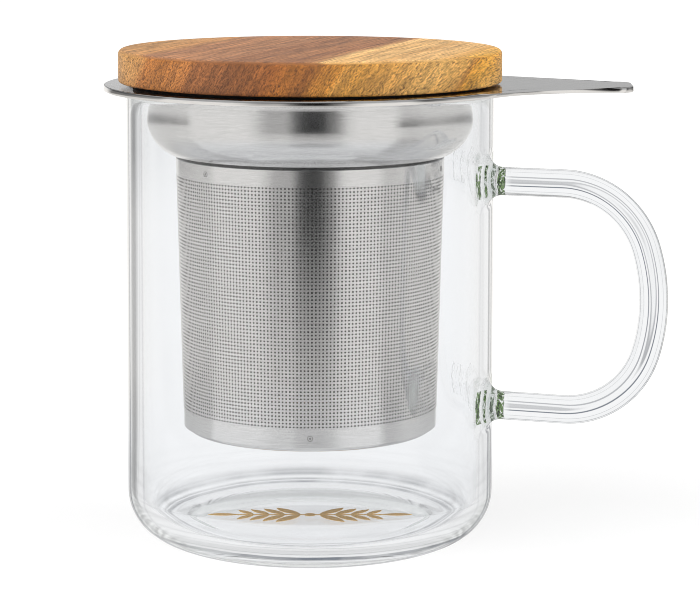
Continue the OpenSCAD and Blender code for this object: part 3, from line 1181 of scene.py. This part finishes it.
    def build_sleeve(self) -> None:
        """Makes the rolled sleeve in panels, each with its share of the etched holes."""
        per_panel = self.columns // self.panels
        pitch = (self.sleeve_top - self.sleeve_low - self.lower_band - self.upper_band) / self.rows
        margin = (1 - self.hole / pitch) / 2
        width = math.tau / self.columns
        material = self.sheet.material()
        for panel in range(self.panels):
            first = panel * per_panel
            bm = bmesh.new()
            bmesh.ops.create_grid(bm, x_segments=per_panel, y_segments=self.rows, size=0.5)
            bmesh.ops.scale(bm, vec=(per_panel, self.rows, 1), verts=bm.verts)
            bmesh.ops.translate(bm, vec=(per_panel / 2, self.rows / 2, 0), verts=bm.verts)
            holes = [f for f in bm.faces if first + f.calc_center_median().x > self.seam_columns]
            bmesh.ops.inset_individual(bm, faces=holes, thickness=margin, use_even_offset=True)
            bmesh.ops.delete(bm, geom=holes, context="FACES")
            for row, band in ((0, -self.lower_band), (self.rows, self.upper_band)):
                edge = [e for e in open_edges(bm.edges) if all(abs(v.co.y - row) < LEVEL for v in e.verts)]
                pull_out(bm, edge, Vector((0, band / pitch, 0)))
            bmesh.ops.recalc_face_normals(bm, faces=bm.faces)
            bmesh.ops.solidify(bm, geom=bm.faces[:] + bm.edges[:] + bm.verts[:], thickness=self.sheet_wall)
            self.taper_holes(bm)
            start = math.radians(self.seam_angle) + first * width
            for vert in bm.verts:
                z = self.sleeve_low + self.lower_band + vert.co.y * pitch
                angle = start + vert.co.x * width
                radius = self.sleeve_at(z) - abs(vert.co.z)
                vert.co = (radius * math.cos(angle), radius * math.sin(angle), z)
            bmesh.ops.recalc_face_normals(bm, faces=bm.faces)
            finish_piece(bm, f"basket_sleeve_{panel + 1}", Body.INFUSER, material,
                         ("basket_sleeve",))

    def build_floor(self) -> None:
        """Makes the pressed, perforated floor with its upturned rim."""
        low, thick, pitch = self.floor_low, self.sheet_wall, self.floor_pitch
        top = low + self.floor_corner
        flat = self.sleeve_at(top) - thick - self.sheet_fit - self.floor_corner
        rim_z = self.sleeve_low + self.floor_rim
        rim_radius = self.sleeve_at(rim_z) - thick - self.sheet_fit
        bm = bmesh.new()
        lathe(bm, [(flat - self.floor_lip, low)] + arc((flat, top), self.floor_corner, -90, 0, steps=8)
              + [(rim_radius, rim_z), (rim_radius - thick, rim_z)]
              + arc((flat, top), self.floor_corner - thick, 0, -90, steps=8)
              + [(flat - self.floor_lip, low + thick)], segments=ROUND // 2)
        bmesh.ops.remove_doubles(bm, verts=bm.verts, dist=MERGE)
        low_rim = [e for e in open_edges(bm.edges) if e.verts[0].co.z < low + NEAR]
        # The underside: a square grid of cells within the flat, joined to the pressed edge and then opened
        count = 2 * int(flat / pitch)
        grid = bmesh.ops.create_grid(bm, x_segments=count, y_segments=count, size=count * pitch / 2)["verts"]
        bmesh.ops.translate(bm, vec=(0, 0, low), verts=grid)
        cells = list({f for v in grid for f in v.link_faces})
        limit = flat - self.floor_margin
        outside = [f for f in cells if max(v.co.xy.length for v in f.verts) > limit]
        bmesh.ops.delete(bm, geom=outside, context="FACES")
        cells = [f for f in cells if f.is_valid]
        border = list({e for f in cells for e in f.edges if e.is_boundary})
        bmesh.ops.triangle_fill(bm, edges=low_rim + border, use_beauty=True)
        bmesh.ops.inset_individual(bm, faces=cells, thickness=(pitch - self.hole) / 2, use_even_offset=True)
        under = [f for f in bm.faces if all(abs(v.co.z - low) < LEVEL for v in f.verts)]
        bmesh.ops.delete(bm, geom=[f for f in cells if f.is_valid], context="FACES")
        under = [f for f in under if f.is_valid and max(v.co.xy.length for v in f.verts) < flat + NEAR]
        # The upper side is a copy of it, and walls join the two in every hole
        upper = bmesh.ops.duplicate(bm, geom=under)["geom"]
        bmesh.ops.translate(bm, vec=(0, 0, thick), verts=verts_of(upper))
        holes = [e for e in open_edges(bm.edges)
                 if abs(e.verts[0].co.z - low) < LEVEL and e.calc_length() < pitch]
        pull_out(bm, holes, Vector((0, 0, thick)))
        close_up(bm)
        finish_piece(bm, "basket_floor_pressed", Body.INFUSER, self.sheet.material(),
                     ("basket_floor",))

    def build_welds(self, name: str, node: str, first: float, inner: float) -> None:
        """Makes the welds of one joint as small dimpled plugs through both sheets.

        Args:
            name: The piece's name.
            node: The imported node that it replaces.
            first: Angle of the first weld, in degrees.
            inner: Thickness of the inner sheet.
        """
        bm = bmesh.new()
        radius = self.weld_radius
        z = node_box(node)[0].z + radius
        deep = self.sheet_wall + self.sheet_fit + inner
        section = [(share * radius, height) for share, height in DIMPLE] + [(radius, -deep), (0, -deep)]
        for turn in range(self.weld_count):
            plug = bmesh.new()
            lathe(plug, section, segments=24)
            close_up(plug)
            angle = math.radians(first + 360 / self.weld_count * turn)
            place = (Matrix.Rotation(angle, 4, "Z") @ Matrix.Translation((self.sleeve_at(z), 0, z))
                     @ Matrix.Rotation(math.pi / 2, 4, "Y"))
            bmesh.ops.transform(plug, matrix=place, verts=plug.verts)
            mesh = bpy.data.meshes.new("plug")
            plug.to_mesh(mesh)
            plug.free()
            bm.from_mesh(mesh)
            bpy.data.meshes.remove(mesh)
        finish_piece(bm, name, Body.INFUSER, self.weld.material(), (node,))

    def build(self) -> None:
        """Makes every piece of the infuser."""
        self.build_bowl()
        self.build_sleeve()
        self.build_floor()
        self.build_welds("upper_welds_dimpled", "upper_spot_welds", self.upper_weld_angle, self.bowl_wall)
        self.build_welds("lower_welds_dimpled", "lower_spot_welds", self.lower_weld_angle, self.sheet_wall)


# ---------------------------------------------------------------------------------------------- lid


@dataclass
class Lid:
    """The turned wooden lid and the silicone seal on its boss."""

    wood: AcaciaWood
    silicone: Silicone
    top_round: float = 1.2
    low_round: float = 0.6
    chamfer: float = 0.5
    boss_radius: float = 37.2
    groove_radius: float = 36.2
    band_radius: float = 38.2
    rib_height: float = 1.1
    rib_space: float = 0.3
    ribs: int = 2
    radius: float = field(init=False)
    top: float = field(init=False)
    low: float = field(init=False)
    boss_low: float = field(init=False)
    groove_low: float = field(init=False)
    lip_radius: float = field(init=False)
    seat: float = field(init=False)

    def __post_init__(self) -> None:
        """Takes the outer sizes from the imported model."""
        low, high = node_box("lid_disc")
        self.radius, self.boss_low, self.top = high.x, low.z, high.z
        low, high = node_box("lid_seal")
        self.groove_low, self.low, self.lip_radius = low.z, high.z, high.x
        _, high = node_box("infuser_bowl")
        self.seat = high.z

    def build_disc(self) -> None:
        """Makes the wooden disc with the boss under it."""
        boss, groove, low = self.boss_radius, self.groove_radius, self.low
        bm = bmesh.new()
        lathe(bm, (
            [(0, self.boss_low), (boss - self.chamfer, self.boss_low), (boss, self.boss_low + self.chamfer),
             (boss, self.groove_low), (groove, self.groove_low), (groove, low)]
            + arc((self.radius - self.low_round, low + self.low_round), self.low_round, -90, 0, steps=5)
            + arc((self.radius - self.top_round, self.top - self.top_round), self.top_round, 0, 90, steps=8)
            + [(0.5 * self.radius, self.top), (0, self.top)]
        ))
        close_up(bm)
        finish_piece(bm, "lid_disc_turned", Body.LID, self.wood.material(), ("lid_disc",))

    def build_seal(self) -> None:
        """Makes the ring in the boss's groove, with its ribs."""
        groove, band, rib = self.groove_radius, self.band_radius, self.rib_height
        profile = [(groove, self.groove_low), (band, self.groove_low)]
        for i in range(self.ribs):
            start = self.groove_low + self.rib_space + i * (rib + self.rib_space)
            bulge = arc((band, start + rib / 2), rib / 2, -90, 90, steps=8)[1:-1]
            profile += [(band, start)] + bulge + [(band, start + rib)]
        profile += [(band, self.seat), (self.lip_radius, self.seat), (self.lip_radius, self.low),
                    (groove, self.low), (groove, self.groove_low)]
        bm = bmesh.new()
        lathe(bm, profile)
        close_up(bm)
        finish_piece(bm, "lid_seal_moulded", Body.LID, self.silicone.material(), ("lid_seal",))

    def build(self) -> None:
        """Makes both pieces."""
        self.build_disc()
        self.build_seal()


# ------------------------------------------------------------------------------------------- studio


def bearing_of(azimuth: float, elevation: float = 0.0) -> Vector:
    """Gives the direction towards a bearing from the handle and an elevation, both in degrees."""
    a, e = math.radians(azimuth), math.radians(elevation)
    return Vector((math.cos(a) * math.cos(e), math.sin(a) * math.cos(e), math.sin(e)))


@dataclass(frozen=True)
class Lamp:
    """A broad, even lamp that shades matt surfaces. Its angles are in degrees."""

    name: str
    azimuth: float
    elevation: float
    spread: float
    strength: float

    def build(self) -> None:
        """Adds it to the scene."""
        light = bpy.data.lights.new(self.name, "SUN")
        light.angle, light.energy = math.radians(self.spread), self.strength
        lamp = bpy.data.objects.new(self.name, light)
        lamp.location = bearing_of(self.azimuth, self.elevation)
        lamp.rotation_euler = lamp.location.to_track_quat("Z", "Y").to_euler()
        lamp.visible_glossy = lamp.visible_transmission = False
        bpy.context.scene.collection.objects.link(lamp)


KEY = Lamp("key", azimuth=-130, elevation=50, spread=50, strength=1.2)
FILL = Lamp("fill", azimuth=0, elevation=40, spread=60, strength=0.8)


@dataclass
class Studio:
    """The pale floor, the soft light, the white surround and the camera.

    Lengths are in millimetres and tones run from 0 to 1. walls_passed is the number of glass surfaces beyond
    which light has come through both walls of the mug. foot_shade is the floor's painted shade at the mug's
    foot for strayed light, and seen_rings and caught_rings are the darkest tone of the rings painted on the
    floor, seen straight and by light caught in the wall.
    """

    camera_azimuth: float = -71.0
    camera_distance: float = 648.5
    camera_height: float = 166.31
    pitch: float = 4.64
    lens: float = 136.36
    sensor: float = 36.0
    shift: Point = (0.057, -0.3189)
    lamps: tuple[Lamp, ...] = (KEY, FILL)
    ambient: float = 0.62
    rod_level: float = 0.98
    walls_passed: float = 3.5
    mug_outline: float = 44.0
    low_world: Point = (0.10, 0.24)
    foot_shade: float = 0.8
    foot_span: Point = (30.0, 130.0)
    ring_span: Point = (20.0, 120.0)
    seen_rings: float = 0.88
    caught_rings: float = 0.5
    floor_albedo: float = 0.5
    floor_glow: float = 0.56
    warm_floor: Colour = (1.0, 0.975, 0.94)
    warm_span: Point = (120.0, 200.0)
    floor_size: float = 6000.0
    floor_drop: float = 0.1
    bounces: int = 48
    glossy_bounces: int = 24
    transparent_bounces: int = 16
    filter_width: float = 0.9

    def reach(self, shader: Shader, span: Point, start: float, end: float) -> Socket:
        """Maps the distance from the middle of the floor over a span.

        Args:
            shader: The helper of the floor's tree.
            span: The nearest and the farthest distance, in millimetres.
            start: The value up to the nearest distance.
            end: The value from the farthest distance on.

        Returns:
            The value at the place shaded.
        """
        near, far = span
        return shader.range(shader.length(shader.place()), near * MM, far * MM, start, end)

    def aim(self, shader: Shader, vector: Any) -> tuple[Socket, Socket]:
        """Measures a direction or place against the camera's bearing.

        Args:
            shader: The helper of the tree that needs it.
            vector: The direction or place.

        Returns:
            How far it lies to the camera's right, and how far away from the camera.
        """
        away = -bearing_of(self.camera_azimuth)
        right = away.cross(Vector((0, 0, 1)))
        return tuple(shader.add("VectorMath", {0: vector, 1: axis}, operation="DOT_PRODUCT").outputs["Value"]
                     for axis in (right, away))

    def surround(self) -> bpy.types.NodeTree:
        """Builds what the studio looks like by bearing: to polished steel, and to light caught in the wall.

        The bearing runs from 0 to 1 once round, with 0.5 straight behind the mug as the camera sees it, lower
        values to the camera's right and 0 and 1 at the camera itself.

        Returns:
            A group that takes how far a place lies to the right and away, and the strengths of the dark
            stripe in front and of the gaps beside the mug.
        """

        def build(shader: Shader, source: bpy.types.Node) -> dict[str, Any]:
            """Adds the two tones by bearing.

            Args:
                shader: The helper of the group's tree.
                source: The group's input node.

            Returns:
                A socket for each output.
            """
            bearing = shader.math("ARCTAN2", source.outputs["Right"], source.outputs["Away"])
            turn = shader.math("MULTIPLY_ADD", bearing, -1 / math.tau, 0.5)
            front = shader.grey_ramp(
                turn, (0.0, 0.01), (0.014, 0.01), (0.024, 0.03), (0.034, 0.16), (0.045, 0.26), (0.055, 0.46),
                (0.065, 0.74), (0.075, 0.92), (0.09, 1.0), (0.88, 1.0), (0.90, 0.84), (0.915, 0.62),
                (0.925, 0.53), (0.955, 0.53), (0.963, 0.42), (0.971, 0.2), (0.985, 0.05), (1.0, 0.01))
            gaps = shader.grey_ramp(
                turn, (0.155, 1.0), (0.178, 0.22), (0.2, 0.26), (0.235, 0.5), (0.28, 0.48), (0.33, 0.3),
                (0.39, 0.2), (0.42, 1.0), (0.575, 1.0), (0.605, 0.2), (0.67, 0.24), (0.70, 0.36),
                (0.75, 0.42), (0.765, 1.0))
            wall = shader.grey_ramp(
                turn, (0.39, 0.95), (0.407, 0.82), (0.415, 0.97), (0.45, 1.0), (0.458, 0.58), (0.466, 0.98),
                (0.473, 0.9), (0.479, 0.48), (0.486, 0.9), (0.512, 1.0), (0.521, 0.62), (0.529, 0.95),
                (0.549, 0.95), (0.555, 0.34), (0.584, 0.37), (0.59, 0.58), (0.597, 0.66), (0.6, 0.95),
                (0.603, 1.0), (0.605, 0.75), (0.608, 0.76), (0.612, 0.95))
            stripe = shader.blend(source.outputs["Stripe"], 1, front)
            side = shader.blend(source.outputs["Reach"], 1, gaps)
            return {"Steel": shader.times(stripe, side), "Wall": wall}

        return group("surround", {"Right": 0, "Away": 1, "Stripe": 0, "Reach": 1}, ("Steel", "Wall"), build)

    def world_tones(self, shader: Shader, surround: bpy.types.NodeTree) -> dict[str, Socket]:
        """Adds the world's tones for each kind of light that strays to it.

        Args:
            shader: The helper of the world's tree.
            surround: The surround's group.

        Returns:
            The tone by kind of light: bare, inside, wall and often.
        """
        direction = shader.add("TexCoord").outputs["Generated"]
        right, away = self.aim(shader, direction)
        rise = shader.math("ARCSINE", shader.parts(direction)["Z"])
        height = shader.range(rise, 0, math.pi / 2, 0, 1)
        low = shader.range(height, *self.low_world, 1, 0)
        bearings = {"Right": right, "Away": away, "Stripe": low, "Reach": low}
        tones = shader.add("Group", bearings, node_tree=surround)
        rings = shader.grey_ramp(
            height, (0.0, 0.95), (0.05, 0.95), (0.06, 0.3), (0.075, 0.35), (0.085, 1.0), (0.13, 1.0),
            (0.14, 0.45), (0.16, 0.5), (0.17, 1.0), (0.23, 1.0), (0.245, 0.25), (0.27, 0.3), (0.29, 0.95),
            (0.36, 1.0), (0.38, 0.55), (0.43, 0.6), (0.45, 1.0), (0.55, 0.95), (0.57, 0.5), (0.62, 0.55),
            (0.66, 0.95), (1.0, 0.9))
        ceiling = shader.grey_ramp(height, (0.0, 0.9), (0.03, 0.47), (0.3, 0.47), (0.5, 0.9))
        steel = tones.outputs["Steel"]
        return {"bare": shader.times(steel, ceiling), "inside": shader.times(steel, rings),
                "wall": tones.outputs["Wall"], "often": rings}

    def floor_tones(self, shader: Shader, surround: bpy.types.NodeTree) -> dict[str, Socket]:
        """Adds the floor's tones for each kind of light that strays to it.

        Args:
            shader: The helper of the floor's tree.
            surround: The surround's group.

        Returns:
            The tone by kind of light: bare, inside, wall and often.
        """
        place = shader.place()
        right, away = self.aim(shader, place)
        distance = shader.length(place)
        stripe = shader.grey_ramp(
            distance, (0.10, 0), (0.12, 0.40), (0.145, 0.46), (0.156, 0.22), (0.19, 0.28), (0.25, 0.5),
            (0.31, 0.6), (0.36, 0.7), (0.42, 0.93), (0.45, 1))
        reach = shader.grey_ramp(distance, (0.18, 0.5), (0.24, 0.25), (0.6, 0.22), (0.9, 1))
        bearings = {"Right": right, "Away": away, "Stripe": stripe, "Reach": reach}
        steel = shader.add("Group", bearings, node_tree=surround).outputs["Steel"]
        # Light caught in the wall leaves it at the mug's outline, so its bearing is taken from there
        beyond = shader.most(shader.minus(shader.math("ABSOLUTE", right), self.mug_outline * MM), 0)
        beyond = shader.times(beyond, shader.math("SIGN", right))
        wall = shader.add("Group", {"Right": beyond, "Away": away}, node_tree=surround).outputs["Wall"]
        tone = shader.times(steel, self.reach(shader, self.foot_span, self.foot_shade, 1))
        # Painted rings on the floor, for light caught in the wall and thrown more than once
        rings = self.painted_floor_rings(shader)
        base = shader.times(wall, shader.range(rings, 0, 1, self.caught_rings, 1))
        return {"bare": tone, "inside": tone, "wall": base, "often": shader.times(rings, steel)}

    def painted_floor_rings(self, shader: Shader) -> Socket:
        """Paints dark rings on the floor round the mug: painted shade for the fine lines that its thick base
        shows.

        Args:
            shader: The helper of the floor's tree.

        Returns:
            Their tone by distance from the mug's axis.
        """
        return shader.grey_ramp(
            self.reach(shader, self.ring_span, 0, 1),
            (0.0, 1), (0.06, 0.7), (0.09, 1), (0.14, 0.95), (0.17, 0.5), (0.20, 1), (0.25, 1), (0.28, 0.6),
            (0.30, 0.98), (0.36, 0.95), (0.38, 0.55), (0.42, 1), (0.50, 0.97), (0.53, 0.7), (0.57, 1),
            (0.66, 0.97), (0.70, 0.65), (0.75, 1), (0.85, 0.8), (0.92, 1), (1.0, 1))

    def strayed(self, shader: Shader, tones: dict[str, Any]) -> tuple[Socket, Socket, Socket]:
        """Chooses the tone for light that steel or glass threw or bent aside.

        Args:
            shader: The helper of the tree that needs it.
            tones: The tone for light thrown by bare surfaces, by surfaces inside the glass and by the wall
                itself, and for light that was thrown more than once inside the glass.

        Returns:
            The tone, a mask that is 1 for such light and 0 where one looks straight through clear walls, and
            a mask that is 1 for light caught in the wall.
        """
        path = shader.add("LightPath").outputs
        thrown = shader.above(path["Glossy Depth"], 0.5)
        often = shader.above(path["Glossy Depth"], 1.5)
        entered = shader.above(path["Transmission Depth"], 0.5)
        in_wall = shader.times(entered, shader.below(path["Transmission Depth"], self.walls_passed))
        bent = shader.times(in_wall, shader.minus(1, thrown))
        tone = shader.blend(entered, tones["bare"], tones["inside"])
        tone = shader.blend(in_wall, tone, tones["wall"])
        tone = shader.blend(shader.times(entered, often), tone, tones["often"])
        tone = shader.blend(bent, tone, self.rod_level)
        return tone, shader.most(thrown, bent), in_wall

    def build_world(self, surround: bpy.types.NodeTree) -> None:
        """Makes the world: white to the eye, the surround to strayed light, a plain level to matt surfaces.

        Args:
            surround: The surround's group.
        """
        world = bpy.data.worlds.new("studio")
        bpy.context.scene.world = world
        world.use_nodes = True
        world.cycles.sampling_method = "NONE"
        shader = Shader(world.node_tree)
        tone, strayed, _ = self.strayed(shader, self.world_tones(shader, surround))
        path = shader.add("LightPath").outputs
        seen = shader.most(path["Is Glossy Ray"], path["Is Transmission Ray"])
        seen = shader.most(path["Is Camera Ray"], seen)
        white = shader.blend(strayed, 1.0, tone)
        shader.feed(world.node_tree.nodes["Background"], {"Color": shader.blend(seen, self.ambient, white)})

    def floor_material(self, surround: bpy.types.NodeTree) -> bpy.types.Material:
        """Builds the floor's finish: white to the eye but for the mug's shadow.

        Args:
            surround: The surround's group.

        Returns:
            The material.
        """
        material, shader, surface = new_material("floor")
        material.cycles.emission_sampling = "NONE"
        shader.tree.nodes.remove(surface)
        tone, strayed, in_wall = self.strayed(shader, self.floor_tones(shader, surround))
        seen_through = shader.above(shader.add("LightPath").outputs["Transmission Depth"], self.walls_passed)
        # Painted rings on the floor, seen only through the glass
        rings = shader.range(self.painted_floor_rings(shader), 0, 1, self.seen_rings, 1)
        clear = shader.blend(seen_through, 1.0, rings)
        # Half the mug's shadow is filled in where it is seen through the glass, which carries light into it
        albedo = shader.blend(seen_through, self.floor_albedo, self.floor_albedo / 2)
        strength = shader.blend(seen_through, self.floor_glow, (1 + self.floor_glow) / 2)
        matt = shader.add("BsdfDiffuse", {"Color": shader.times(clear, albedo)}).outputs[0]
        glow = shader.add("Emission", {"Color": clear, "Strength": strength}).outputs[0]
        lit = shader.add("AddShader", {0: matt, 1: glow}).outputs[0]
        far = shader.times(self.reach(shader, self.warm_span, 0, 1), shader.minus(1, in_wall))
        warmth = shader.mix(far, WHITE, self.warm_floor)
        thrown = shader.add("Emission", {"Color": shader.tint(tone, warmth)}).outputs[0]
        both = shader.add("MixShader", {0: strayed, 1: lit, 2: thrown}).outputs[0]
        shader.feed(shader.tree.nodes["Material Output"], {"Surface": both})
        return material

    def build_floor(self, surround: bpy.types.NodeTree) -> None:
        """Makes the floor.

        Args:
            surround: The surround's group.
        """
        bm = bmesh.new()
        bmesh.ops.create_grid(bm, x_segments=1, y_segments=1, size=self.floor_size * MM / 2)
        mesh = bpy.data.meshes.new("floor")
        bm.to_mesh(mesh)
        bm.free()
        mesh.materials.append(self.floor_material(surround))
        floor = bpy.data.objects.new("floor", mesh)
        floor.location.z = -self.floor_drop * MM
        bpy.context.scene.collection.objects.link(floor)

    def build_camera(self) -> None:
        """Adds the camera at the viewing height and bearing."""
        data = bpy.data.cameras.new("camera")
        data.lens, data.sensor_width = self.lens, self.sensor
        data.shift_x, data.shift_y = self.shift
        camera = bpy.data.objects.new("camera", data)
        camera.location = bearing_of(self.camera_azimuth) * self.camera_distance * MM
        camera.location.z = self.camera_height * MM
        camera.rotation_mode = "QUATERNION"
        camera.rotation_quaternion = bearing_of(self.camera_azimuth, self.pitch).to_track_quat("Z", "Y")
        bpy.context.scene.collection.objects.link(camera)
        bpy.context.scene.camera = camera

    def build(self) -> None:
        """Sets up the whole studio."""
        scene = bpy.context.scene
        scene.view_settings.view_transform = "Standard"
        scene.cycles.max_bounces = scene.cycles.transmission_bounces = self.bounces
        scene.cycles.glossy_bounces = self.glossy_bounces
        scene.cycles.transparent_max_bounces = self.transparent_bounces
        scene.cycles.filter_width = self.filter_width
        surround = self.surround()
        self.build_world(surround)
        self.build_floor(surround)
        for lamp in self.lamps:
            lamp.build()
        self.build_camera()


# --------------------------------------------------------------------------------------------- main


def main() -> None:
    """Builds the object and its studio."""
    logging.basicConfig(level=logging.INFO, format="%(name)s: %(message)s")
    brushing = brushing_group()
    GlassMug(ClearGlass()).build()
    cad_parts["base_ornament"].material_slots[0].material = Gilding().material()
    Infuser(
        drawn=BrushedSteel("drawn_steel", brushing),
        sheet=BrushedSteel("perforated_steel", brushing, density=7000, etched=True),
        weld=BrushedSteel("weld_steel", brushing, tone=(0.42, 0.41, 0.40), roughness=0.2, anisotropy=0),
    ).build()
    Lid(AcaciaWood(), Silicone()).build()
    Studio().build()


if __name__ == "__main__":
    main()
